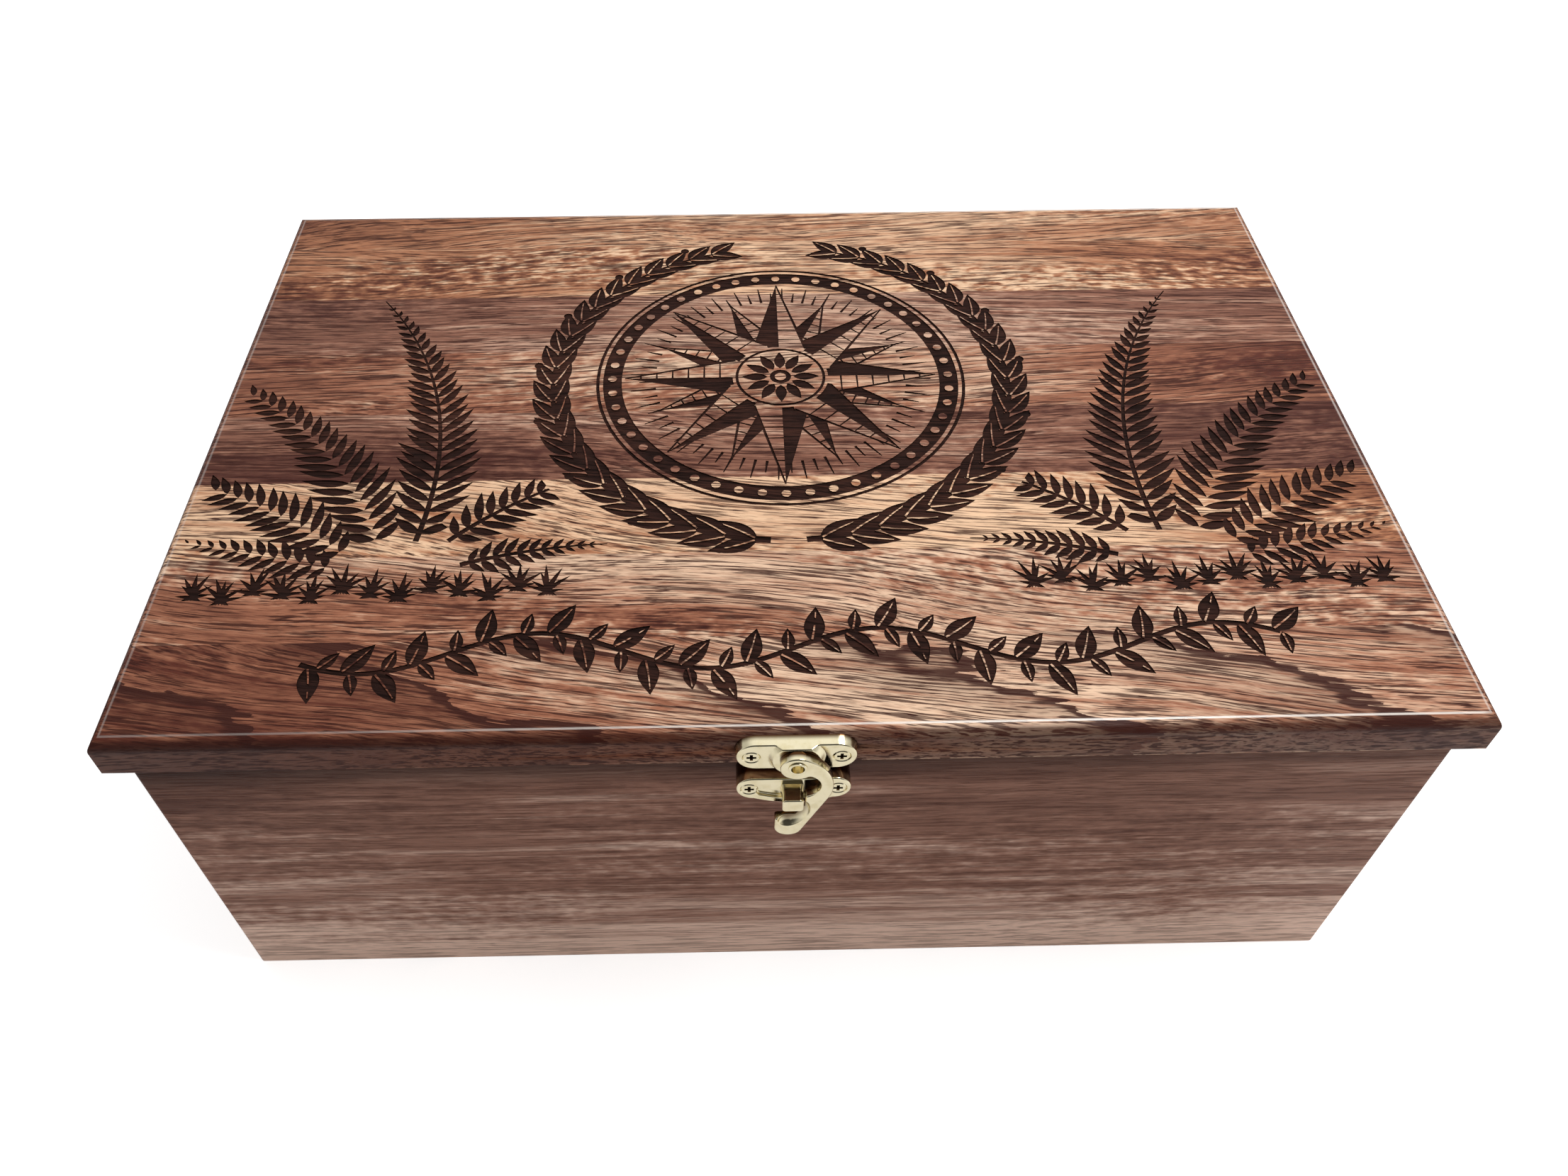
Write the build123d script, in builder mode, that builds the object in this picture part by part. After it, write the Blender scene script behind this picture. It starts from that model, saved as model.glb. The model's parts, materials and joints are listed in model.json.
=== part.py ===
"""Keepsake box: a mitred wooden box with a strip-glued hinged lid and a brass swing-hook latch.

Frame: origin at the centre of the base, +X to the right, -Y is the front, +Z up. Millimetres.
"""
from math import cos, radians, sin, tan
import os

from build123d import *

os.makedirs("parts", exist_ok=True)

# ---------------------------------------------------------------- driving dimensions
# box
box_width = 300.0
box_depth = 203.5
box_height = 102.0
wall = 11.0
corner_round = 1.2
panel_thickness = 4.0
panel_rabbet = 5.0

# lid, which overhangs at the front and sides and is flush at the back
lid_thickness = 10.5
lid_overhang = 3.5
lid_round = 3.0
strip_count = 8
front_strip = 27.5
back_strip = 20.0

# hinges, let into the back wall and the lid, barrel in a V of two bevels that stops the lid
hinge_length = 25.0
hinge_from_end = 55.0
hinge_setback = 3.2
barrel_radius = 1.6
hinge_pin_radius = 0.75
pin_clearance = 0.05
knuckle_count = 5
knuckle_clearance = 0.2
leaf_thickness = 1.0
leaf_sunk = 0.12
leaf_reach = 7.2
leaf_screw_line = 4.5
leaf_screw_spacing = 15.0
gain_clearance = 0.15
lid_opening = 100.0
bevel_extra = 0.5
bevel_relief = 0.1

# screws
shank_radius = 1.1
screw_clearance = 0.05
pilot_extra = 0.5
hinge_head_radius = 1.9
hinge_screw_length = 8.0
latch_head_radius = 2.05
latch_screw_length = 10.0
keeper_screw_length = 14.0
point_length = 2.0
cross_width = 0.7
cross_reach = 1.05
cross_depth = 0.8
countersink_angle = 82.0
head_bevel = 0.2

# latch plate on the lid's front edge
plate_x = -0.5
plate_width = 26.3
plate_height = 8.7
plate_rise = 2.6
sheet = 1.0
plate_draft = 8.0
plate_above_seam = 5.4
plate_screw_spacing = 19.7
crest_foot_radius = 6.2
crest_radius = 5.2
crest_rise = 1.2
plate_edge_round = 0.4
boss_radius = 2.8

# swing hook and its rivet
hook_x = -0.4
hook_rise = 0.2
pivot_rise = 0.6
hook_gap = 0.1
hook_thickness = 2.2
hook_edge_round = 0.4
head_radius = 3.8
arm_radius = 11.6
arm_start = 63.0
arm_end = -23.5
tail_run = 14.75
tail_radius = 3.2
tail_corner = (-4.8, -20.1)
tail_inner = (0.0, -20.0)
notch_low = (1.95, -16.4)
notch_high = (1.95, -11.0)
mouth_end = (5.1, -5.6)
mouth_root = -46.0
inner_corner_round = 0.7
same_place = 0.01
rivet_radius = 1.8
rivet_clearance = 0.05
rivet_flange_radius = 2.05
rivet_flange = 0.25
rivet_bore = 1.5
rivet_foot = 0.3
scoop_radius = 2.6
scoop_depth = 1.5
scoop_edge_round = 0.3
scoop_route = ((0.6, -14.6), (0.2, -18.6), (-1.9, -20.6))

# keeper on the box's front wall, with the peg that the hook passes under
keeper_x = -0.9
keeper_below_seam = 7.2
keeper_width = 25.9
keeper_lobe_radius = 3.9
keeper_sag = 5.8
keeper_screw_spacing = 20.0
dish_height = 2.7
dish_depth = 0.7
dish_round = 0.3
dish_route = ((-7.1, -1.2), (0, -2.5), (7.1, -1.2))
peg_x = -0.35
peg_root = (6.2, 4.2)
peg_waist = (4.6, 3.8)
peg_end = (5.0, 4.4)
peg_waist_at = 2.6
peg_length = 4.7
peg_rooted = 0.5
peg_corner = 0.9
peg_end_round = 0.35

# ---------------------------------------------------------------- derived places
lid_width = box_width + 2 * lid_overhang
lid_depth = box_depth + lid_overhang
lid_y = -lid_overhang / 2
lid_front = -box_depth / 2 - lid_overhang
box_back = box_depth / 2
seam = box_height

hinge_y = box_back - hinge_setback
hinge_centres = [side * (box_width / 2 - hinge_from_end) for side in (-1, 1)]
bevel = lid_opening / 2 + bevel_extra
reach_past = 5.0

latch_z = seam + plate_above_seam
hook_z = latch_z + hook_rise
pivot_z = hook_z + pivot_rise
hook_back = plate_rise + crest_rise + hook_gap
keeper_z = seam - keeper_below_seam
keeper_depth = plate_rise + lid_overhang


def front_plane(x, z, proud=0.0):
    """A plane that faces the front, so far in front of the lid's edge."""
    return Plane(origin=(x, lid_front - proud, z), x_dir=(1, 0, 0), z_dir=(0, -1, 0))


def save(part, name):
    part.label = name
    export_step(part, f"parts/{name}.step")


# ---------------------------------------------------------------- screws
def countersunk_screw(head, length):
    """One wood screw along -Z, with the top of its head, of radius head, at the origin."""
    head_depth = (head - shank_radius) / tan(radians(countersink_angle / 2))
    with BuildPart() as screw:
        with BuildSketch(Plane.XZ):
            with BuildLine():
                Polyline(
                    (0, 0),
                    (head - 2 * head_bevel, 0),
                    (head - head_bevel * tan(radians(countersink_angle / 2)), -head_bevel),
                    (shank_radius, -head_depth),
                    (shank_radius, -length + point_length),
                    (0, -length),
                    close=True,
                )
            make_face()
        revolve(axis=Axis.Z)
        with BuildSketch():
            Rectangle(cross_reach * head, cross_width)
            Rectangle(cross_width, cross_reach * head)
        extrude(amount=-cross_depth, mode=Mode.SUBTRACT)
    return screw.part


def screw_group(name, planes, head, length):
    """Identical screws as separate solids of one node, each with its head on its plane."""
    screw = countersunk_screw(head, length)
    with BuildPart() as group:
        with Locations(*[plane.location for plane in planes]):
            add(screw)
    save(group.part, name)


# ---------------------------------------------------------------- where the hinges go
def hinge_screw_planes(up):
    """Head planes of one side's hinge screws: up is 1 on the box and -1 on the lid."""
    z = seam - up * leaf_sunk
    return [
        Plane(origin=(x + dx, hinge_y - leaf_screw_line, z), z_dir=(0, 0, up))
        for x in hinge_centres
        for dx in (-leaf_screw_spacing / 2, leaf_screw_spacing / 2)
    ]


def hinge_seats(up):
    """What the hinges take out of the box (up is 1) or the lid (up is -1)."""
    relief = bevel_relief / sin(radians(bevel))
    drop = (hinge_setback + reach_past + relief) * tan(radians(bevel))
    seat_length = hinge_length + 2 * gain_clearance
    with BuildPart() as seats:
        with BuildSketch(Plane.YZ):
            with BuildLine():
                Polyline(
                    (hinge_y - relief, seam),
                    (box_back + reach_past, seam - up * drop),
                    (box_back + reach_past, seam),
                    close=True,
                )
            make_face()
        extrude(amount=lid_width, both=True)
        for x in hinge_centres:
            with BuildSketch(Plane.YZ.offset(x - seat_length / 2)):
                with Locations((hinge_y - (leaf_reach + gain_clearance) / 2, seam)):
                    Rectangle(leaf_reach + gain_clearance, 2 * (leaf_sunk + leaf_thickness))
                with Locations((hinge_y, seam)):
                    Circle(barrel_radius + 2 * gain_clearance)
            extrude(amount=seat_length)
        with Locations(*[plane.location for plane in hinge_screw_planes(up)]):
            Cylinder(
                shank_radius + screw_clearance,
                hinge_screw_length + screw_clearance,
                align=(Align.CENTER, Align.CENTER, Align.MAX),
            )
    return seats.part


# ---------------------------------------------------------------- walls and base
with BuildPart() as frame:
    with BuildSketch():
        RectangleRounded(box_width, box_depth, corner_round)
        Rectangle(box_width - 2 * wall, box_depth - 2 * wall, mode=Mode.SUBTRACT)
    extrude(amount=box_height)
    with BuildSketch():
        Rectangle(box_width - 2 * wall + 2 * panel_rabbet, box_depth - 2 * wall + 2 * panel_rabbet)
    extrude(amount=panel_thickness, mode=Mode.SUBTRACT)


def mitre_region(nx, ny):
    """The part of the plan between the two mitres of the wall that faces (nx, ny)."""
    tip, root = reach_past, -2 * wall
    corners = []
    for grow, side in ((tip, -1), (tip, 1), (root, 1), (root, -1)):
        x = nx * (box_width / 2 + grow) if nx else side * (box_width / 2 + grow)
        y = ny * (box_depth / 2 + grow) if ny else side * (box_depth / 2 + grow)
        corners.append((x, y))
    return corners


for name, nx, ny in (
    ("front_wall", 0, -1),
    ("back_wall", 0, 1),
    ("left_wall", -1, 0),
    ("right_wall", 1, 0),
):
    with BuildPart() as board:
        add(frame.part)
        with BuildSketch():
            with BuildLine():
                Polyline(*mitre_region(nx, ny), close=True)
            make_face()
        extrude(amount=box_height, mode=Mode.INTERSECT)
        if name == "front_wall":
            with Locations(
                *[
                    front_plane(keeper_x + side * keeper_screw_spacing / 2, keeper_z, plate_rise).location
                    for side in (-1, 1)
                ]
            ):
                Hole(shank_radius + screw_clearance, keeper_screw_length + pilot_extra)
        else:
            add(hinge_seats(1), mode=Mode.SUBTRACT)
    save(board.part, name)

with BuildPart() as bottom_panel:
    with BuildSketch():
        Rectangle(box_width - 2 * wall + 2 * panel_rabbet, box_depth - 2 * wall + 2 * panel_rabbet)
    extrude(amount=panel_thickness)
save(bottom_panel.part, "bottom_panel")

# ---------------------------------------------------------------- lid strips
with BuildPart() as lid_blank:
    with BuildSketch(Plane.XY.offset(seam)):
        with Locations((0, lid_y)):
            Rectangle(lid_width, lid_depth)
    extrude(amount=lid_thickness)
    fillet(lid_blank.faces().sort_by(Axis.Z)[-1].edges(), lid_round)

latch_screw_planes = [
    front_plane(plate_x + side * plate_screw_spacing / 2, latch_z, plate_rise) for side in (-1, 1)
]
inner_strip = (lid_depth - front_strip - back_strip) / (strip_count - 2)
joint_lines = [lid_front]
joint_lines += [lid_front + front_strip + i * inner_strip for i in range(strip_count - 1)]
joint_lines += [lid_front + lid_depth]

for i in range(strip_count):
    near, far = joint_lines[i], joint_lines[i + 1]
    with BuildPart() as strip:
        add(lid_blank.part)
        with BuildSketch(Plane.XY.offset(seam)):
            with Locations((0, (near + far) / 2)):
                Rectangle(lid_width, far - near)
        extrude(amount=lid_thickness, mode=Mode.INTERSECT)
        if i == 0:
            with Locations(*[plane.location for plane in latch_screw_planes]):
                Hole(shank_radius + screw_clearance, latch_screw_length + pilot_extra)
        if i == strip_count - 1:
            add(hinge_seats(-1), mode=Mode.SUBTRACT)
    save(strip.part, f"lid_strip_{i + 1}")


# ---------------------------------------------------------------- hinges
def hinge_leaf(x, up):
    """One leaf: up is 1 for the box's leaf, with the odd knuckles, and -1 for the lid's."""
    knuckle = hinge_length / knuckle_count
    left = x - hinge_length / 2
    with BuildPart() as leaf:
        with BuildSketch(Plane.YZ.offset(left)):
            with Locations((hinge_y - leaf_reach / 2, seam - up * (leaf_sunk + leaf_thickness / 2))):
                Rectangle(leaf_reach, leaf_thickness)
            with Locations((hinge_y, seam)):
                Circle(barrel_radius)
        extrude(amount=hinge_length)
        for k in range(knuckle_count):
            if (k % 2 == 0) == (up == 1):
                continue
            first = left + k * knuckle - (knuckle_clearance if k else knuckle)
            last = left + (k + 1) * knuckle + (knuckle_clearance if k < knuckle_count - 1 else knuckle)
            with BuildSketch(Plane.YZ.offset(first)):
                with Locations((hinge_y, seam)):
                    Circle(barrel_radius + knuckle_clearance)
            extrude(amount=last - first, mode=Mode.SUBTRACT)
        with BuildSketch(Plane.YZ.offset(left)):
            with Locations((hinge_y, seam)):
                Circle(hinge_pin_radius + pin_clearance)
        extrude(amount=hinge_length, mode=Mode.SUBTRACT)
        planes = [p for p in hinge_screw_planes(up) if abs(p.origin.X - x) < hinge_length / 2]
        with Locations(*[plane.location for plane in planes]):
            CounterSinkHole(
                shank_radius + screw_clearance,
                hinge_head_radius + screw_clearance,
                2 * leaf_thickness,
                countersink_angle,
            )
    return leaf.part


for side, x in zip(("left", "right"), hinge_centres):
    save(hinge_leaf(x, 1), f"box_hinge_leaf_{side}")
    save(hinge_leaf(x, -1), f"lid_hinge_leaf_{side}")
    with BuildPart() as pin:
        with BuildSketch(Plane.YZ.offset(x - hinge_length / 2)):
            with Locations((hinge_y, seam)):
                Circle(hinge_pin_radius)
        extrude(amount=hinge_length)
    save(pin.part, f"hinge_pin_{side}")

screw_group("box_hinge_screws", hinge_screw_planes(1), hinge_head_radius, hinge_screw_length)
screw_group("lid_hinge_screws", hinge_screw_planes(-1), hinge_head_radius, hinge_screw_length)

# ---------------------------------------------------------------- latch plate
with BuildPart() as crest:
    with Locations(front_plane(plate_x, latch_z, plate_rise).location):
        Cone(crest_foot_radius, crest_radius, crest_rise, align=(Align.CENTER, Align.CENTER, Align.MIN))
        Box(4 * crest_radius, plate_height, 4 * crest_rise, mode=Mode.INTERSECT)

with BuildPart() as latch_plate:
    spread = 2 * plate_rise * tan(radians(plate_draft))
    with BuildSketch(front_plane(plate_x, latch_z)):
        SlotOverall(plate_width + spread, plate_height + spread)
    extrude(amount=plate_rise, taper=plate_draft)
    add(crest.part)
    face_at = lid_front - plate_rise + same_place
    fillet(latch_plate.edges().filter_by(lambda edge: edge.center().Y < face_at), plate_edge_round)
    with BuildSketch(front_plane(plate_x, latch_z)):
        SlotOverall(plate_width - 2 * sheet, plate_height - 2 * sheet)
        with Locations((hook_x - plate_x, pivot_z - latch_z)):
            Circle(boss_radius, mode=Mode.SUBTRACT)
    extrude(amount=plate_rise - sheet, mode=Mode.SUBTRACT)
    with Locations(front_plane(hook_x, pivot_z, plate_rise + crest_rise).location):
        Hole(rivet_radius + rivet_clearance)
    with Locations(*[plane.location for plane in latch_screw_planes]):
        CounterSinkHole(
            shank_radius + screw_clearance,
            latch_head_radius + screw_clearance,
            plate_rise,
            countersink_angle,
        )
save(latch_plate.part, "latch_plate")
screw_group("latch_screws", latch_screw_planes, latch_head_radius, latch_screw_length)


# ---------------------------------------------------------------- swing hook
def around(centre, radius, angle):
    return (centre[0] + radius * cos(radians(angle)), centre[1] + radius * sin(radians(angle)))


def hook_outline():
    """Round head, arm bowed to the right, tail back under the head, and the notch for the peg."""
    head_foot = around((0, 0), head_radius, mouth_root)
    arm_centre = around((0, 0), head_radius - arm_radius, arm_start)
    with BuildSketch() as outline:
        with BuildLine():
            arm = CenterArc(arm_centre, arm_radius, arm_start, arm_end - arm_start)
            back = Line(arm @ 1, (arm @ 1) + tail_run * (arm % 1))
            tip_centre = around(tuple(back @ 1), -tail_radius, arm_end)
            tip = CenterArc(tip_centre, tail_radius, arm_end, -180 - arm_end)
            Polyline(tip @ 1, tail_corner, tail_inner, notch_low, notch_high)
            ThreePointArc(notch_high, mouth_end, head_foot)
            CenterArc((0, 0), head_radius, mouth_root, arm_start - mouth_root - 360)
        make_face()
        corners = [Vector(*place) for place in (tail_corner, tail_inner, notch_low, notch_high, head_foot)]
        inner = [v for v in outline.vertices() if min((Vector(v) - c).length for c in corners) < same_place]
        fillet(inner, inner_corner_round)
    return outline.sketch


with BuildPart() as scoop:
    with BuildLine(front_plane(hook_x, hook_z, hook_back + hook_thickness + scoop_radius - scoop_depth)) as path:
        ThreePointArc(*scoop_route)
    with BuildSketch(Plane(origin=path.line @ 0, z_dir=path.line % 0)):
        Circle(scoop_radius)
    sweep()
    with Locations(Location(path.line @ 0), Location(path.line @ 1)):
        Sphere(scoop_radius)

with BuildPart() as latch_hook:
    with BuildSketch(front_plane(hook_x, hook_z, hook_back)):
        add(hook_outline())
    extrude(amount=hook_thickness)
    fillet(latch_hook.faces().sort_by(Axis.Y)[0].edges(), hook_edge_round)
    add(scoop.part, mode=Mode.SUBTRACT)
    fillet(latch_hook.edges(Select.LAST), scoop_edge_round)
    with Locations(front_plane(hook_x, pivot_z, hook_back + hook_thickness).location):
        Hole(rivet_radius + rivet_clearance)
save(latch_hook.part, "latch_hook")

with BuildPart() as latch_rivet:
    flange_at = hook_back + hook_thickness + rivet_clearance
    with BuildSketch(front_plane(hook_x, pivot_z, rivet_foot)):
        Circle(rivet_radius)
    extrude(amount=flange_at - rivet_foot)
    with BuildSketch(front_plane(hook_x, pivot_z, flange_at)):
        Circle(rivet_flange_radius)
    extrude(amount=rivet_flange)
    fillet(latch_rivet.faces().sort_by(Axis.Y)[0].edges(), rivet_flange / 2)
    with Locations(front_plane(hook_x, pivot_z, flange_at + rivet_flange).location):
        Hole(rivet_bore, hook_thickness)
save(latch_rivet.part, "latch_rivet")

# ---------------------------------------------------------------- keeper and peg
keeper_screw_planes = [
    front_plane(keeper_x + side * keeper_screw_spacing / 2, keeper_z, plate_rise) for side in (-1, 1)
]


def keeper_outline(inset=0.0):
    """Two round lobes joined by a straight top and a sagging bottom."""
    r = keeper_lobe_radius - inset
    lobe_x = keeper_width / 2 - keeper_lobe_radius
    with BuildSketch() as outline:
        with BuildLine():
            Line((-lobe_x, r), (lobe_x, r))
            ThreePointArc((lobe_x, r), (lobe_x + r, 0), (lobe_x, -r))
            ThreePointArc((lobe_x, -r), (0, inset - keeper_sag), (-lobe_x, -r))
            ThreePointArc((-lobe_x, -r), (-lobe_x - r, 0), (-lobe_x, r))
        make_face()
    return outline.sketch


with BuildPart() as keeper:
    with BuildSketch(front_plane(keeper_x, keeper_z, -lid_overhang)):
        add(keeper_outline())
    extrude(amount=keeper_depth)
    fillet(keeper.faces().sort_by(Axis.Y)[0].edges(), plate_edge_round)
    with BuildSketch(front_plane(keeper_x, keeper_z, plate_rise)):
        with BuildLine():
            middle = ThreePointArc(*dish_route)
        SlotArc(middle, dish_height)
    extrude(amount=-dish_depth, mode=Mode.SUBTRACT)
    fillet(keeper.edges(Select.LAST), dish_round)
    with BuildSketch(front_plane(keeper_x, keeper_z, -lid_overhang)):
        add(keeper_outline(sheet))
    extrude(amount=keeper_depth - dish_depth - sheet, mode=Mode.SUBTRACT)
    for size, proud in (
        (peg_root, plate_rise - dish_depth - peg_rooted),
        (peg_waist, plate_rise + peg_waist_at),
        (peg_end, plate_rise + peg_length),
    ):
        with BuildSketch(front_plane(keeper_x + peg_x, keeper_z, proud)):
            RectangleRounded(*size, peg_corner)
    loft()
    fillet(keeper.faces().sort_by(Axis.Y)[0].edges(), peg_end_round)
    with Locations(*[plane.location for plane in keeper_screw_planes]):
        CounterSinkHole(
            shank_radius + screw_clearance,
            latch_head_radius + screw_clearance,
            keeper_depth,
            countersink_angle,
        )
save(keeper.part, "keeper_plate")
screw_group("keeper_screws", keeper_screw_planes, latch_head_radius, keeper_screw_length)
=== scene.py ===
"""The look of the keepsake box: varnished strips and boards, a burnt carving on the lid, a brass latch."""

import cmath
import json
import math
import random

import bmesh
import bpy
from mathutils import Matrix, Vector
from mathutils.geometry import delaunay_2d_cdt


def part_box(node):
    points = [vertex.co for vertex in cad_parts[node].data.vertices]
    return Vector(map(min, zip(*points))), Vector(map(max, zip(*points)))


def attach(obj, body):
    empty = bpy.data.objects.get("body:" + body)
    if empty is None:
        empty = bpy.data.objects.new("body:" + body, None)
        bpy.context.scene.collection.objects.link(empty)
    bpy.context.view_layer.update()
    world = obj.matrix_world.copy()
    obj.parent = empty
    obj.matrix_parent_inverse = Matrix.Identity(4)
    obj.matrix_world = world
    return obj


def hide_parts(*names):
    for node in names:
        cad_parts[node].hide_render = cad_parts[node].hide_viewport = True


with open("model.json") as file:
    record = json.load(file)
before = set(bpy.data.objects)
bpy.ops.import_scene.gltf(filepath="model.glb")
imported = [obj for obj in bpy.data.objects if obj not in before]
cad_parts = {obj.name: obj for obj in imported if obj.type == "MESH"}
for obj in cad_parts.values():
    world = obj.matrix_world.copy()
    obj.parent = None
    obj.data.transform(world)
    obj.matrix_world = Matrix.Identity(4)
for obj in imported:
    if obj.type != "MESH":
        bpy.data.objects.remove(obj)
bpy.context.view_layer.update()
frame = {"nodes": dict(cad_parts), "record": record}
MM = 0.001

# heights and depths that the finishes follow
WALL_TOP = 102.0 * MM
WALL_FRONT = -101.75 * MM
LID_TOP = 112.5 * MM
LID_SIDE = 150.0 * MM
LATCH_FACES = -107.0 * MM


def tone(red, green, blue):
    """A colour as the eye reads it, 0 to 255, for a shader socket."""
    linear = [(c / 255 / 12.92 if c < 11 else ((c / 255 + 0.055) / 1.055) ** 2.4) for c in (red, green, blue)]
    return (*linear, 1.0)


# ---------------------------------------------------------------- shader expressions
class Value:
    """A shader socket that adds its own Math node wherever it is used in an expression."""

    def __init__(self, finish, socket):
        self.finish = finish
        self.socket = socket

    def math(self, operation, *terms):
        return self.finish.node("ShaderNodeMath", {"operation": operation}, dict(enumerate(terms)))

    def __add__(self, other):
        return self.math("ADD", self, other)

    def __radd__(self, other):
        return self.math("ADD", other, self)

    def __sub__(self, other):
        return self.math("SUBTRACT", self, other)

    def __rsub__(self, other):
        return self.math("SUBTRACT", other, self)

    def __mul__(self, other):
        return self.math("MULTIPLY", self, other)

    def __pow__(self, power):
        return self.math("POWER", self, power)

    def fraction(self):
        return self.math("FRACT", self)

    def step(self, low, high):
        """0 under low, 1 over high, and a smooth rise between them."""
        sockets = {"Value": self, "From Min": low, "From Max": high}
        return self.finish.node("ShaderNodeMapRange", {"interpolation_type": "SMOOTHSTEP"}, sockets)


class Finish:
    """One material and the nodes that it is made of."""

    def __init__(self, name):
        self.material = bpy.data.materials.new(name)
        self.material.use_nodes = True
        self.tree = self.material.node_tree
        self.tree.nodes.clear()

    def node(self, kind, settings=None, sockets=None, output=0):
        made = self.tree.nodes.new(kind)
        for key, value in (settings or {}).items():
            setattr(made, key, value)
        for key, value in (sockets or {}).items():
            if isinstance(value, Value):
                self.tree.links.new(value.socket, made.inputs[key])
            else:
                made.inputs[key].default_value = value
        return Value(self, made.outputs[output])

    def place(self):
        return self.node("ShaderNodeTexCoord", output="Object")

    def axis(self, place, number):
        """The place's X, Y or Z: 0, 1 or 2."""
        return self.node("ShaderNodeSeparateXYZ", {}, {0: place}, output=number)

    def noise(self, place, across, detail=2.0, rough=0.5):
        """Noise from 0 to 1 with so many cells a metre along each axis."""
        cells = self.node("ShaderNodeVectorMath", {"operation": "MULTIPLY"}, {0: place, 1: across})
        sockets = {"Vector": cells, "Scale": 1.0, "Detail": detail, "Roughness": rough}
        return self.node("ShaderNodeTexNoise", {"noise_dimensions": "3D"}, sockets)

    def pushed(self, place, shift):
        """The place moved sideways, across the grain."""
        aside = self.node("ShaderNodeCombineXYZ", {}, {1: shift, 2: shift * 0.6})
        return self.node("ShaderNodeVectorMath", {"operation": "ADD"}, {0: place, 1: aside})

    def mix(self, share, one, other):
        settings = {"data_type": "RGBA", "clamp_factor": True}
        return self.node("ShaderNodeMix", settings, {0: share, 6: one, 7: other}, output=2)

    def bump(self, height, depth, strength):
        return self.node("ShaderNodeBump", {}, {"Strength": strength, "Distance": depth, "Height": height})

    def light_path(self, kind):
        return self.node("ShaderNodeLightPath", output=kind)

    def surface(self, **sockets):
        """The finished material, its sockets named with _ for a space."""
        shader = self.node("ShaderNodeBsdfPrincipled", {}, {k.replace("_", " "): v for k, v in sockets.items()})
        output = self.tree.nodes.new("ShaderNodeOutputMaterial")
        self.tree.links.new(shader.socket, output.inputs["Surface"])
        return self.material


# ---------------------------------------------------------------- wood
RIM_SHADE_TONE = tone(100, 58, 42)
SHADE_TONE = tone(36, 19, 15)
GLINT_TONE = tone(246, 236, 226)


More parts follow.
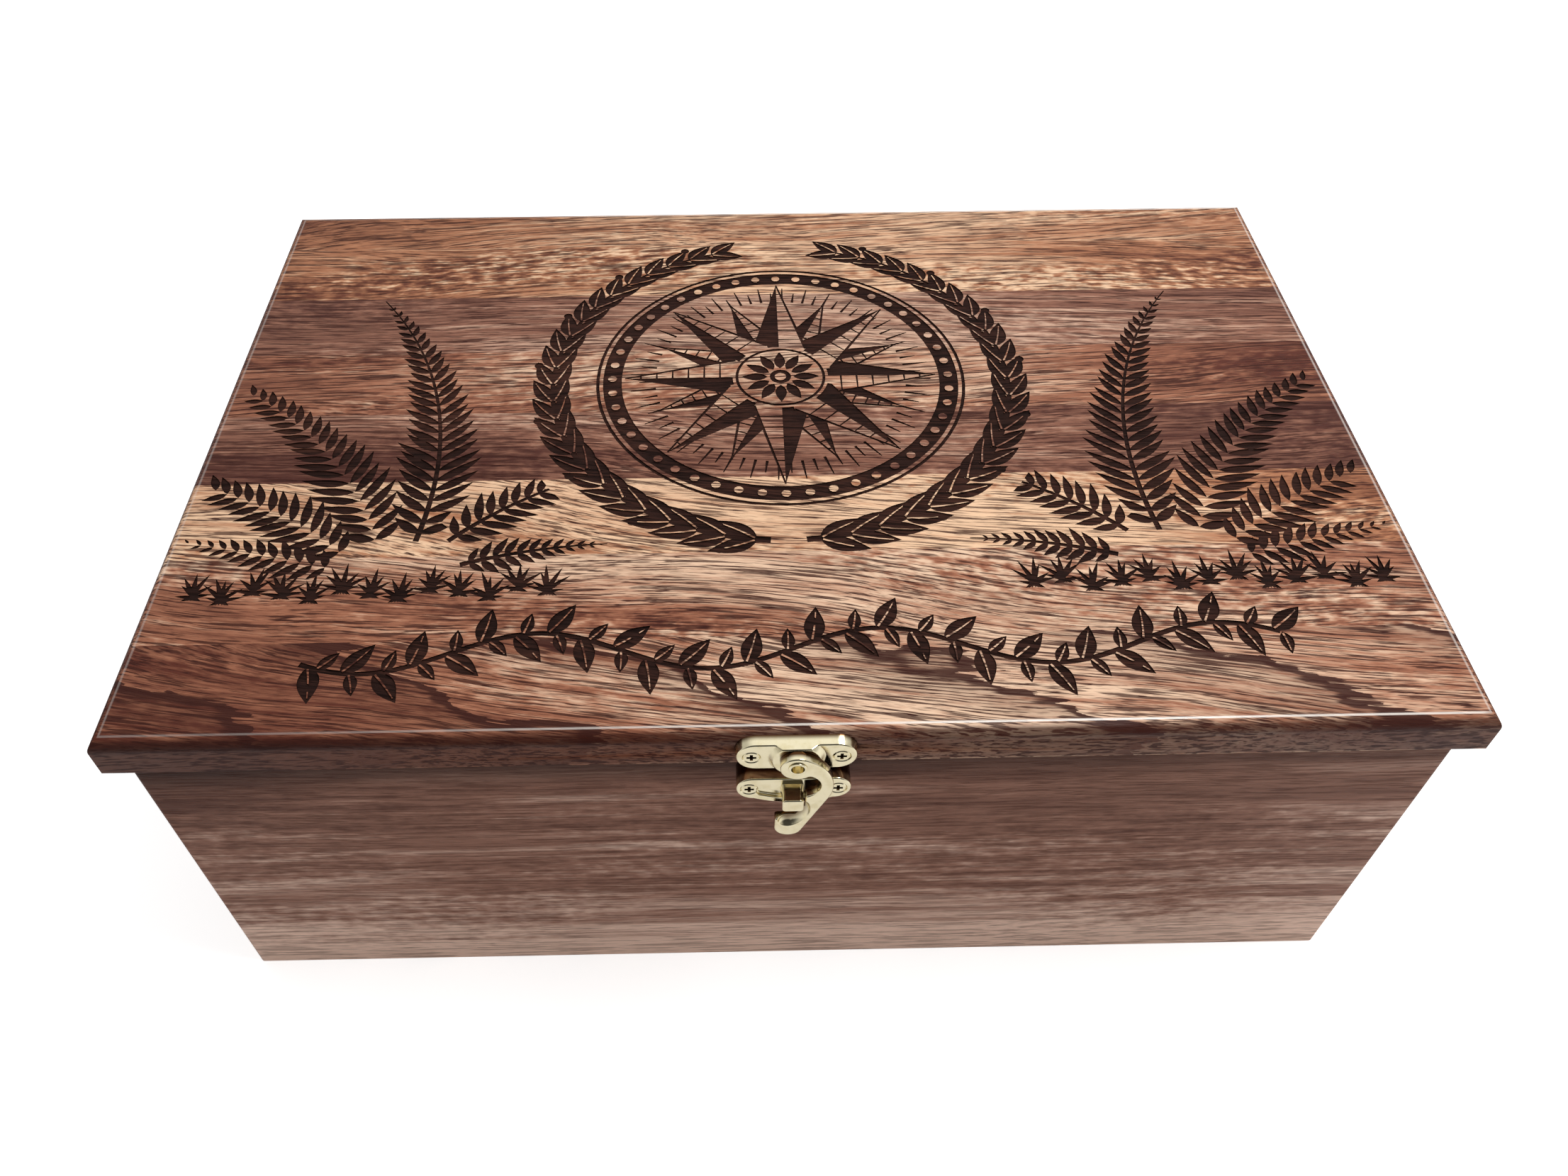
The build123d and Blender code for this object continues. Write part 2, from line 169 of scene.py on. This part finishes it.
def wood(
    name, dark, middle, light, deep, seed,
    turn=(0.0, 0.0, 0.0), shade=(0.5, 0.5, 0.5), foot=0.0, edge=0.0, under=0.0,
    bands=1.0, clouds=1.0, fine=1.0, curl=0.5, veins=0.2, lines=0.6, wander=1.0,
    rough=0.42, coat=0.05, gloss=0.08,
):
    """Open-pored striped hardwood, grain along X before it is turned, under a satin varnish.

    shade is how light the left, the centre and the right are, partly the wood's own tone and partly painted light:
    a painted sheen in the middle of the lid, and painted shade towards its ends and towards a wall's left. foot
    lightens a wall towards its foot as painted light from the floor, with painted shade on its upper part. edge
    paints shade on the lid's rim and front face and a painted highlight on its top arris, and under paints the
    shadow of the lid on the front wall below it. bands, clouds, fine, curl, veins and lines say how strong each
    part of the figure is, and wander how far the grain bends.
    """
    finish = Finish(name)
    place = finish.place()
    along, aside, height = (finish.axis(place, number) for number in range(3))
    turned = finish.node(
        "ShaderNodeMapping",
        {"vector_type": "POINT"},
        {"Vector": place, "Rotation": turn, "Location": (0.37 * seed, 0.53 * seed, 0.29 * seed)},
    )
    sway = finish.noise(turned, (5.0, 11.0, 11.0)) - 0.5
    ripple = finish.noise(turned, (60.0, 80.0, 80.0)) - 0.5
    grain = finish.pushed(turned, sway * (0.03 * wander) + ripple * (0.0008 * wander))

    # the figure, from the widest part to the finest
    broad = finish.noise(grain, (3.0, 24.0, 24.0)) - 0.5
    stripe = finish.noise(grain, (6.0, 230.0, 150.0), 4.0, 0.62) - 0.5
    streak = finish.noise(grain, (20.0, 700.0, 620.0), 3.0, 0.6) - 0.5
    fibre = finish.noise(grain, (150.0, 2600.0, 2300.0), 2.0, 0.6) - 0.5
    line = finish.noise(grain, (60.0, 1700.0, 1500.0), 2.0, 0.55) + stripe * 0.25
    line = line.step(0.5, 0.59)
    pore = finish.noise(grain, (270.0, 3200.0, 2800.0), 1.0).step(0.56, 0.68)
    fleck = finish.noise(grain, (230.0, 520.0, 480.0)) - 0.5
    fleck = fleck * finish.noise(turned, (9.0, 45.0, 40.0), 1.0).step(0.4, 0.6)

    # dark veins: slanting rings with one sharp side, in patches
    wobble = finish.noise(turned, (12.0, 40.0, 40.0)) * 1.6 + ripple * 0.4 + streak * 0.25
    rings = ((along * 0.42 + aside) * 38.0 + wobble + 0.95 * seed).fraction()
    vein = rings.step(0.3, 1.0) * 0.4 + rings.step(0.88, 0.93) * 0.6
    vein = vein * finish.noise(turned, (8.0, 18.0, 18.0), 1.0).step(0.15, 0.3)

    left, centre, right = shade
    lift = left + along.step(-0.16, 0.04) * (centre - left) + along.step(0.05, 0.16) * (right - centre)
    lift = lift + broad * (1.3 * clouds) + stripe * (1.1 * bands)
    lift = lift + streak * (0.8 * fine) + fibre * (0.6 * fine) + fleck * (2.0 * curl)
    # painted light: a wall lighter towards its foot as if lit by the floor, and painted shade on its upper part
    if foot:
        depth = 1.0 - height * (1 / WALL_TOP)
        upper_shade = height.step(WALL_TOP - 37 * MM, WALL_TOP - 17 * MM)
        lift = lift + depth * 0.25 + depth ** 8.0 * foot - upper_shade * 0.12
    colour = finish.mix(lift.step(-0.1, 0.6), dark, middle)
    colour = finish.mix(lift.step(0.4, 1.0), colour, light)
    colour = finish.mix(vein * veins, colour, deep)
    # painted shade: the lid's rounded rim and front face darker, where they turn away from the light
    if edge:
        rim = finish.mix(height.step(LID_TOP - 4.0 * MM, LID_TOP - 2.5 * MM), RIM_SHADE_TONE, deep)
        below_top = 1.0 - height.step(LID_TOP - 0.9 * MM, LID_TOP - 0.1 * MM)
        colour = finish.mix(below_top * height.step(WALL_TOP, WALL_TOP + 0.4 * MM) * edge, colour, rim)
    # painted shadow of the lid's overhang on the front wall's outer face, weaker to the right where the lamp is
    if under:
        outside = 1.0 - aside.step(WALL_FRONT + 0.15 * MM, WALL_FRONT + 0.55 * MM)
        outside = outside * (1.0 - height.step(WALL_TOP - 0.8 * MM, WALL_TOP - 0.2 * MM))
        shaded = height.step(WALL_TOP - 16 * MM, WALL_TOP - 5 * MM) * outside
        shaded = shaded * (1.0 - along.step(0.0, 0.12) * 0.5)
        colour = finish.mix(shaded * under, colour, SHADE_TONE)
    colour = finish.mix(line * lines + pore * (0.35 * lines), colour, deep)
    if edge:
        # a painted highlight along the arris where the lid's top turns down, under a glossier coat there
        glint = height.step(LID_TOP - 0.14 * MM, LID_TOP - 0.08 * MM)
        glint = glint * (1.0 - height.step(LID_TOP - 0.03 * MM, LID_TOP - 0.001 * MM))
        coat = coat + glint * 0.9
        bright = 0.12 + along.step(-0.11, 0.02) * 0.6 - along.step(LID_SIDE - 1 * MM, LID_SIDE + 1 * MM) * 0.4
        colour = finish.mix(glint * bright, colour, GLINT_TONE)
    relief = fibre * 0.4 - pore * 0.6 - line * 0.6
    return finish.surface(
        Base_Color=colour,
        Roughness=rough + fibre * 0.2 + line * 0.15,
        Normal=finish.bump(relief, 0.00016, 0.6),
        Coat_Weight=coat,
        Coat_Roughness=0.16,
        Specular_IOR_Level=gloss,
    )


# ---------------------------------------------------------------- carving, in mm on the lid's top
def blade(base, way, length, width, curve=0.0, points=7):
    """A pointed leaf from its base, along the unit number way."""
    sides = []
    for side in (-1, 1):
        edge = []
        for i in range(1, points):
            t = i / points
            across = side * width / 2 * math.sin(math.pi * t**0.8) + curve * length * t * t
            edge.append(base + way * complex(length * t, across))
        sides.append(edge)
    return [base, *sides[0], base + way * complex(length, curve * length), *reversed(sides[1])]


def ribbon(line, start, end):
    """A strip along a line of points that goes from one width to another."""
    left, right = [], []
    for i, p in enumerate(line):
        ahead = line[min(i + 1, len(line) - 1)] - line[max(i - 1, 0)]
        out = 1j * ahead / abs(ahead) * (start + (end - start) * i / (len(line) - 1)) / 2
        left.append(p + out)
        right.append(p - out)
    return right + left[::-1]


def disc(centre, radius, points=20):
    return [centre + cmath.rect(radius, 2 * math.pi * i / points) for i in range(points)]


def spokes(count, first=0.0):
    """Unit numbers that point evenly all round, from the first angle in degrees."""
    return [cmath.rect(1, math.radians(first + 360 * k / count)) for k in range(count)]


class Carving:
    """Outlines in order: a cut lowers what lies inside it and a keep leaves it standing, whatever came before."""

    def __init__(self, low, high):
        self.low = low
        self.high = high
        self.outlines = []

    def add(self, outline, cut=True):
        low, high = self.low, self.high
        if all(low.real < p.real < high.real and low.imag < p.imag < high.imag for p in outline):
            self.outlines.append((outline, cut))

    def frond(self, base, heading, length, bend, reach, gap):
        """A fern frond: a bent stem with pairs of leaflets that shorten to its tip."""
        def spread(t):
            return reach * (1 - t) ** 0.75 * min(1.0, 0.5 + 2.6 * t)

        steps = 24
        line = [base]
        for i in range(steps):
            line.append(line[-1] + cmath.rect(length / steps, heading + bend * (i + 0.5) / steps))
        # a frond clears its own ground of what came before
        ground = {-1: [], 1: []}
        for side in ground:
            for i in range(0, steps + 1, 2):
                t = i / steps
                aside = cmath.rect(1, heading + bend * t + side * math.radians(66 - 22 * t))
                ground[side].append(line[i] + aside * (1.0 + spread(t)))
        self.add(ground[-1] + ground[1][::-1], cut=False)
        pairs = int(length / gap)
        for k in range(pairs):
            t = (k + 0.8) / (pairs + 0.3)
            at = t * steps
            here = line[int(at)] + (line[min(int(at) + 1, steps)] - line[int(at)]) * (at % 1)
            for side in (-1, 1):
                lean = side * math.radians(68 - 26 * t + random.uniform(-3, 3))
                size = spread(t) * random.uniform(0.92, 1.06)
                if size > 1.2:
                    way = cmath.rect(1, heading + bend * t + lean)
                    self.add(blade(here, way, size, min(gap * 0.8 * (1 - 0.3 * t), size * 0.36), -0.16 * side))
        self.add(ribbon(line, 1.5, 0.35))

    def leaf(self, base, way, length, width, curve=0.0):
        """A broad leaf with a raised midrib."""
        self.add(blade(base, way, length, width, curve, 10))
        rib = [base + way * complex(length * t, curve * length * t * t) for t in (0.06, 0.3, 0.55, 0.85)]
        self.add(ribbon(rib, 0.5, 0.25), cut=False)

    def berry(self, centre):
        self.add(disc(centre, 1.3, 12))

    def ring(self, centre, outer, inner, points=72):
        self.add(disc(centre, outer, points))
        self.add(disc(centre, inner, points), cut=False)


def carve_ferns(carving):
    """Six fronds that fan out from one foot on each side."""
    fans = [
        # foot x and y, heading in degrees, length, bend in degrees, leaflet length, leaflet gap
        (92, -46, 99, 106, -46, 17, 3.7),
        (101, -48, 70, 96, -44, 15.5, 3.7),
        (108, -51, 42, 72, -30, 13, 3.5),
        (110, -55, 16, 44, -4, 9.5, 3.2),
        (84, -46, 134, 52, 30, 12, 3.4),
        (80, -54, 162, 36, 16, 8.5, 3.0),
    ]
    for x, y, heading, length, bend, reach, gap in fans:
        for side in (1, -1):
            way = heading if side == 1 else 180 - heading
            carving.frond(complex(side * x, y), math.radians(way), length, math.radians(side * bend), reach, gap)


def carve_grass(carving):
    """A row of tufts below the ferns, the same on both sides."""
    tufts, first_x, gap, row_y = 13, 58, 7, -64.5
    blades, blade_gap, blade_width = 7, 0.8, 1.3
    for k in range(tufts):
        foot = complex(first_x + gap * k, row_y + 1.6 * math.sin(2.1 * k))
        for n in range(blades):
            way = cmath.rect(1, math.radians(30 + 20 * n + random.uniform(-6, 6)))
            tall = random.uniform(5.5, 8.0) + 2.5 * math.sin(math.pi * (n + 0.5) / blades)
            start = foot + (n - 3) * blade_gap
            curve = (3 - n) * -0.07
            carving.add(blade(start, way, tall, blade_width, curve, 6))
            carving.add(blade(-start.conjugate(), -way.conjugate(), tall, blade_width, -curve, 6))


def carve_wreath(carving, middle):
    """Two laurel boughs that rise from the foot and nearly meet at the top."""
    bough, clear, leaves = 63.5, 11.5, 24
    carving.add(disc(middle, bough + clear, 60), cut=False)
    for side in (1, -1):
        angles = [math.radians(-90 + side * (4 + 162 * i / 40)) for i in range(41)]
        carving.add(ribbon([middle + cmath.rect(bough, a) for a in angles], 2.0, 0.7))
        for k in range(leaves):
            angle = math.radians(-90 + side * (7 + 155 * k / (leaves - 1)))
            size = 13.0 - 3.0 * (k / (leaves - 1))
            way = cmath.rect(1, angle + side * math.pi / 2)
            at = middle + cmath.rect(bough, angle)
            for out in (1, -1):
                lean = cmath.rect(1, -side * out * math.radians(31))
                carving.leaf(at, way * lean, size, 4.9, side * out * 0.12)
            if k % 3 == 1:
                carving.berry(at + way * cmath.rect(5.0, -side * math.radians(80)))


def carve_star(carving, middle):
    """A sixteen-pointed star with a flower in its middle, in a beaded ring."""
    carving.ring(middle, 51.5, 50.6)
    outer, inner = 49.6, 44.4
    carving.ring(middle, outer, inner)
    for way in spokes(48):
        carving.add(disc(middle + way * (outer + inner) / 2, 1.25, 10), cut=False)
    marks = 72
    for k, way in enumerate(spokes(marks, 180 / marks)):
        carving.add(ribbon([middle + way * 35, middle + way * (42 if k % 2 else 39.5)], 0.8, 0.3))
    # each point has a dark half and a hatched one
    for tip, root, half, first in ((36.0, 12.0, 6.4, 22.5), (43.5, 12.5, 7.6, 0.0)):
        for way in spokes(8, first):
            point = middle + way * tip
            side_a = middle + way * complex(root, half)
            side_b = middle + way * complex(root, -half)
            carving.add([middle, side_b, point, side_a], cut=False)
            carving.add([middle, point, side_a])
            carving.add(ribbon([side_b, point], 0.9, 0.5))
            for n in range(1, 7):
                share = n / 7
                along = middle + way * (root + (tip - root) * share)
                carving.add(ribbon([along, side_b + (point - side_b) * share], 0.55, 0.35))
    carving.add(disc(middle, 13.4, 48), cut=False)
    carving.ring(middle, 12.6, 11.8, 48)
    for way in spokes(12):
        carving.add(blade(middle + way * 3.6, way, 7.4, 3.2))
    carving.ring(middle, 3.0, 1.6, 20)


def carve_vine(carving):
    """A waving vine along the front, with a large and a small leaf at each turn."""
    def vine(x):
        return complex(x, -81.5 + 5.5 * math.sin(x / 12.5))

    half_width, pairs, gap = 112, 30, 7.6
    carving.add(ribbon([vine(x) for x in range(-half_width, half_width + 1, 2)], 1.4, 1.4))
    for k in range(pairs):
        x = -110 + gap * k
        side = 1 if k % 2 else -1
        slope = vine(x + 1) - vine(x - 1)
        ahead = slope / abs(slope)
        carving.leaf(vine(x), ahead * cmath.rect(1, side * math.radians(54)), 10.5, 5.0, side * 0.1)
        carving.leaf(vine(x + 2), ahead * cmath.rect(1, -side * math.radians(60)), 6.5, 3.2, -side * 0.1)
        if k % 3 == 0:
            carving.berry(vine(x + 3) + ahead * cmath.rect(5.5, side * math.radians(95)))


def lid_design(low, high):
    """A star in a laurel wreath, ferns on both sides, and a vine along the front."""
    random.seed(7)
    carving = Carving(low, high)
    middle = complex(0.0, 16.0)
    carve_ferns(carving)
    carve_grass(carving)
    carve_wreath(carving, middle)
    carve_star(carving, middle)
    carve_vine(carving)
    return carving


def triangulated(carving, x0, x1, y0, y1):
    """The rectangle, in metres, cut into triangles along the outlines: its points, triangles and which are cut."""
    points = [Vector((x / MM, y / MM)) for x, y in ((x0, y0), (x1, y0), (x1, y1), (x0, y1))]
    faces = [[0, 1, 2, 3]]
    cuts = [False]
    for outline, cut in carving.outlines:
        if max(p.imag for p in outline) * MM < y0 or min(p.imag for p in outline) * MM > y1:
            continue
        area = sum((outline[i - 1].conjugate() * outline[i]).imag for i in range(len(outline)))
        outline = outline if area > 0 else outline[::-1]
        faces.append(list(range(len(points), len(points) + len(outline))))
        points += [Vector((p.real, p.imag)) for p in outline]
        cuts.append(cut)
    flat, _, triangles, _, _, owners = delaunay_2d_cdt(points, [], faces, 1, 1e-5, True)
    # the last outline that a triangle lies in decides, and 0 is the rectangle itself
    return flat, [(triangle, cuts[max(owner)]) for triangle, owner in zip(triangles, owners) if 0 in owner]


def carved_strip(node, carving, floor_z, wood_finish, burnt_finish):
    """The strip again, with the carving let into its top and cut through at its joints."""
    close = 1e-6
    low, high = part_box(node)
    top = high.z
    joints = ([] if node.endswith("_1") else [low.y]) + ([] if node.endswith("_8") else [high.y])
    shape = bmesh.new()
    shape.from_mesh(frame["nodes"][node].data)
    bmesh.ops.remove_doubles(shape, verts=shape.verts, dist=close)
    flat_top = [f for f in shape.faces if all(abs(v.co.z - top) < close for v in f.verts)]
    corners = [v.co for f in flat_top for v in f.verts]
    x0, x1 = min(c.x for c in corners), max(c.x for c in corners)
    y0, y1 = min(c.y for c in corners), max(c.y for c in corners)
    joint_faces = [f for f in shape.faces if any(all(abs(v.co.y - y) < close for v in f.verts) for y in joints)]
    profiles = {y: [v.co.copy() for v in shape.verts if abs(v.co.y - y) < close] for y in joints}
    bmesh.ops.delete(shape, geom=flat_top + joint_faces, context="FACES")
    for face in shape.faces:
        face.smooth = True
    flat, triangles = triangulated(carving, x0, x1, y0, y1)
    made = {}

    def corner(i, lowered):
        if (i, lowered) not in made:
            made[i, lowered] = shape.verts.new((flat[i].x * MM, flat[i].y * MM, floor_z if lowered else top))
        return made[i, lowered]

    def add_face(corners, burnt):
        try:
            face = shape.faces.new(corners)
        except ValueError:
            return
        face.material_index = int(burnt)
        face.smooth = False

    lowered_beside = {}
    for triangle, lowered in triangles:
        add_face([corner(i, lowered) for i in triangle], lowered)
        for k in range(len(triangle)):
            lowered_beside[triangle[k - 1], triangle[k]] = lowered
    rim = {y: {} for y in joints}
    for (a, b), lowered in lowered_beside.items():
        across = lowered_beside.get((b, a))
        if across is None:
            for y in joints:
                if abs(flat[a].y * MM - y) < close and abs(flat[b].y * MM - y) < close:
                    first, last = sorted((a, b), key=lambda i: flat[i].x)
                    rim[y][first] = (last, lowered)
        elif across and not lowered:
            add_face([corner(a, False), corner(a, True), corner(b, True), corner(b, False)], True)
    # the joints' faces follow the cuts that reach them
    for y, runs in rim.items():
        profile = sorted(profiles[y], key=lambda c: (c.z, c.x))
        outline = [shape.verts.new(c) for c in profile if c.x < 0 and c.z < top - close]
        for a in sorted(runs, key=lambda i: flat[i].x):
            b, lowered = runs[a]
            for i in (a, b):
                if outline[-1] is not corner(i, lowered):
                    outline.append(corner(i, lowered))
        outline += [shape.verts.new(c) for c in reversed(profile) if c.x > 0 and c.z < top - close]
        add_face(outline[::-1] if y == low.y else outline, False)
    bmesh.ops.remove_doubles(shape, verts=shape.verts, dist=2e-7)
    shape.normal_update()
    mesh = bpy.data.meshes.new(node + "_carved")
    shape.to_mesh(mesh)
    shape.free()
    mesh.materials.append(wood_finish)
    mesh.materials.append(burnt_finish)
    piece = bpy.data.objects.new(node + "_carved", mesh)
    bpy.context.scene.collection.objects.link(piece)
    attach(piece, "lid")
    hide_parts(node)


# ---------------------------------------------------------------- what each board is like
DEEP_RED = tone(58, 24, 17)
# the strips' light tones are pale partly as a painted sheen of the varnish
REDDISH = dict(dark=tone(88, 42, 30), middle=tone(166, 109, 82), light=tone(231, 195, 165), lines=0.85)
GOLDEN = dict(dark=tone(102, 54, 36), middle=tone(176, 118, 84), light=tone(236, 196, 160), lines=0.8)
DUSKY = dict(dark=tone(80, 42, 33), middle=tone(148, 101, 81), light=tone(214, 175, 150), lines=0.8)
BURNT = dict(
    dark=tone(26, 12, 9), middle=tone(46, 25, 19), light=tone(66, 38, 29), deep=tone(18, 9, 7),
    lines=0.7, rough=0.8, coat=0.0, gloss=0.1,
)
# the walls are painted lighter towards their foot as if lit by the floor, and lighter to the right as if lit by the
# lamp
BOARD = dict(
    dark=tone(92, 55, 43), middle=tone(156, 112, 94), light=tone(240, 204, 184), deep=tone(66, 36, 28),
    shade=(0.30, 0.40, 0.46), foot=0.8, curl=0.3, bands=1.4, clouds=0.5, fine=0.45, veins=0.0, lines=0.4,
    wander=0.4, gloss=0.06,
)
BARE = dict(
    dark=tone(128, 94, 70), middle=tone(160, 124, 94), light=tone(190, 152, 118), deep=tone(96, 64, 46),
    rough=0.6, coat=0.0, lines=0.3,
)
STRIPS = {
    "lid_strip_1": dict(REDDISH, turn=(0, 0, 0.17), shade=(0.26, 0.68, 0.55), curl=0.3, veins=0.95, wander=1.2),
    "lid_strip_2": dict(REDDISH, turn=(0, 0, 0.12), shade=(0.58, 0.72, 0.66), curl=0.8, veins=0.2, wander=1.1),
    "lid_strip_3": dict(GOLDEN, turn=(0, 0, 0.12), shade=(0.78, 0.70, 0.14), curl=0.9, veins=0.1),
    "lid_strip_4": dict(DUSKY, turn=(0, 0, 0.02), shade=(0.08, 0.46, 0.14), curl=0.5, veins=0.2),
    "lid_strip_5": dict(REDDISH, turn=(0, 0, -0.06), shade=(0.13, 0.70, 0.20), curl=0.6, veins=0.3, wander=1.2),
    "lid_strip_6": dict(DUSKY, turn=(0, 0, 0.05), shade=(0.28, 0.67, 0.28), curl=0.5, veins=0.15, bands=1.3),
    "lid_strip_7": dict(GOLDEN, turn=(0, 0, 0.0), shade=(0.30, 0.74, 0.52), curl=1.3, veins=0.0),
    "lid_strip_8": dict(GOLDEN, turn=(0, 0, -0.10), shade=(0.12, 0.62, 0.54), curl=0.6, veins=0.3, wander=1.2),
}
carved_from, carved_to = complex(-149.5, -101.0), complex(149.5, 97.5)
carve_depth = 0.35 * MM
# how strongly the lid's rim and front face are painted darker as shade
rim_shade_share = 0.82
design = lid_design(carved_from, carved_to)
for number, (node, look) in enumerate(STRIPS.items(), 1):
    varnished = wood(node, deep=DEEP_RED, seed=number, edge=rim_shade_share, **look)
    burnt = wood(node + "_burnt", seed=number, turn=look["turn"], **BURNT)
    carved_strip(node, design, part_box(node)[1].z - carve_depth, varnished, burnt)

across = (0, 0, math.pi / 2)
boards = {
    # the front wall carries a painted shadow of the lid's overhang
    "front_wall": wood("front_wall", seed=21, under=0.7, **BOARD),
    "back_wall": wood("back_wall", seed=23, **BOARD),
    "left_wall": wood("left_wall", seed=25, turn=across, **BOARD),
    "right_wall": wood("right_wall", seed=27, turn=across, **BOARD),
    "bottom_panel": wood("bottom_panel", seed=29, **BARE),
}


# ---------------------------------------------------------------- brass
RECESS_SHADE_TONE = tone(84, 54, 30)


def brass(name, colour, worn, rough, painted_shade_depths=None):
    """Plated brass with faint smudges and a fine brushed grain.

    The last argument gives the depth where a brown painted shade begins and the one where it is full, behind the
    piece's face.
    """
    finish = Finish(name)
    place = finish.place()
    smudge = finish.noise(place, (420.0, 420.0, 420.0), 3.0)
    brushed = finish.noise(place, (900.0, 5200.0, 5200.0)) - 0.5
    colour = finish.mix(smudge.step(0.4, 0.75) * 0.5, colour, worn)
    # painted shade: the brass turns brown towards the wood, behind its face
    if painted_shade_depths:
        colour = finish.mix(finish.axis(place, 1).step(*painted_shade_depths), colour, RECESS_SHADE_TONE)
    return finish.surface(
        Base_Color=colour,
        Metallic=1.0,
        Roughness=rough + (smudge - 0.5) * 0.12,
        Normal=finish.bump(brushed, 0.00003, 0.25),
    )


def latch_finish(name, begins, full):
    """The latch's pale brass, with a painted brown shade from one depth to another, in mm behind the plates' faces
    (less than 0: before).
    """
    painted_shade_depths = (LATCH_FACES + begins * MM, LATCH_FACES + full * MM)
    return brass(name, tone(242, 231, 196), tone(216, 200, 152), 0.16, painted_shade_depths)


latch_brass = latch_finish("latch_brass", 0.3, 1.8)
screw_brass = latch_finish("screw_brass", -0.6, 0.0)
hook_brass = latch_finish("hook_brass", -3.8, -2.6)
hinge_brass = brass("hinge_brass", tone(222, 198, 138), tone(190, 160, 98), 0.3)
own_looks = dict(boards, latch_screws=screw_brass, keeper_screws=screw_brass, latch_hook=hook_brass)

slots = {s["node"]: s["material_slot"] for s in frame["record"]["subparts"]}
for node, piece in frame["nodes"].items():
    if node in STRIPS:
        continue
    plain = latch_brass if slots[node] == "latch_brass" else hinge_brass
    piece.data.materials.clear()
    piece.data.materials.append(own_looks.get(node, plain))

# ---------------------------------------------------------------- floor
scene = bpy.context.scene
scene.view_settings.view_transform = "Standard"
white = (1.0, 1.0, 1.0, 1.0)

reach = 6.0
floor_mesh = bpy.data.meshes.new("floor")
floor_mesh.from_pydata(
    [(-reach, -reach, 0), (reach, -reach, 0), (reach, reach, 0), (-reach, reach, 0)], [], [(0, 1, 2, 3)]
)
floor = bpy.data.objects.new("floor", floor_mesh)
scene.collection.objects.link(floor)
paper = Finish("floor_paper")
seen = paper.light_path("Is Camera Ray") * 0.6 + paper.light_path("Is Glossy Ray") * 0.06
floor_mesh.materials.append(
    paper.surface(Base_Color=(0.86, 0.86, 0.86, 1.0), Roughness=0.9, Emission_Color=white, Emission_Strength=seen)
)


# ---------------------------------------------------------------- light
class Room(Finish):
    """The world, with the methods of a finish."""

    def __init__(self, name):
        self.world = bpy.data.worlds.new(name)
        self.world.use_nodes = True
        self.tree = self.world.node_tree
        self.tree.nodes.clear()

    def towards(self, way):
        """1 straight that way, 0 at a right angle to it."""
        place = self.node("ShaderNodeTexCoord", output="Generated")
        sockets = {0: place, 1: Vector(way).normalized()}
        return self.node("ShaderNodeVectorMath", {"operation": "DOT_PRODUCT"}, sockets, output="Value")


room = Room("studio")
glow = room.towards((0.12, 0.66, 0.75)).step(0.55, 0.95)
dim = room.towards((0.0, -0.87, 0.5)).step(0.4, 0.8)
dimmed = room.light_path("Is Glossy Ray") * 0.5 + 0.4
lit = (0.55 + glow * 0.45) * (1.0 - dim * dimmed)
backdrop = room.light_path("Is Camera Ray")
background = room.node(
    "ShaderNodeBackground", {}, {"Color": white, "Strength": lit * (1.0 - backdrop) + backdrop}
)
room.tree.links.new(background.socket, room.tree.nodes.new("ShaderNodeOutputWorld").inputs["Surface"])
scene.world = room.world

lamp = bpy.data.lights.new("overhead", "AREA")
lamp.shape = "RECTANGLE"
lamp.size, lamp.size_y, lamp.energy = 0.5, 0.35, 5.2
lamp_place, lamp_target = Vector((0.42, 0.0, 0.92)), Vector((0.03, 0.0, 0.1))
softbox = bpy.data.objects.new("overhead", lamp)
softbox.location = lamp_place
softbox.rotation_euler = (lamp_target - lamp_place).to_track_quat("-Z", "Y").to_euler()
scene.collection.objects.link(softbox)

# ---------------------------------------------------------------- camera, as fitted to the box's edges
photo_width, focal_px, centre_shift_px = 2212, 1745.17, 41.75
camera_place = (-0.01195, -0.25839, 0.33255)
yaw, pitch, roll = (math.radians(a) for a in (0.920, 48.409, -0.253))
forward = Vector((math.sin(yaw) * math.cos(pitch), math.cos(yaw) * math.cos(pitch), -math.sin(pitch)))
level = Vector((math.cos(yaw), -math.sin(yaw), 0.0))
upward = level.cross(forward)
right = math.cos(roll) * level + math.sin(roll) * upward
above = math.cos(roll) * upward - math.sin(roll) * level
lens = bpy.data.cameras.new("camera")
lens.sensor_width = 36.0
lens.lens = focal_px / photo_width * lens.sensor_width
lens.shift_x = centre_shift_px / photo_width
lens.clip_start = 0.01
camera = bpy.data.objects.new("camera", lens)
camera.matrix_world = Matrix.Translation(camera_place) @ Matrix((right, above, -forward)).transposed().to_4x4()
scene.collection.objects.link(camera)
scene.camera = camera
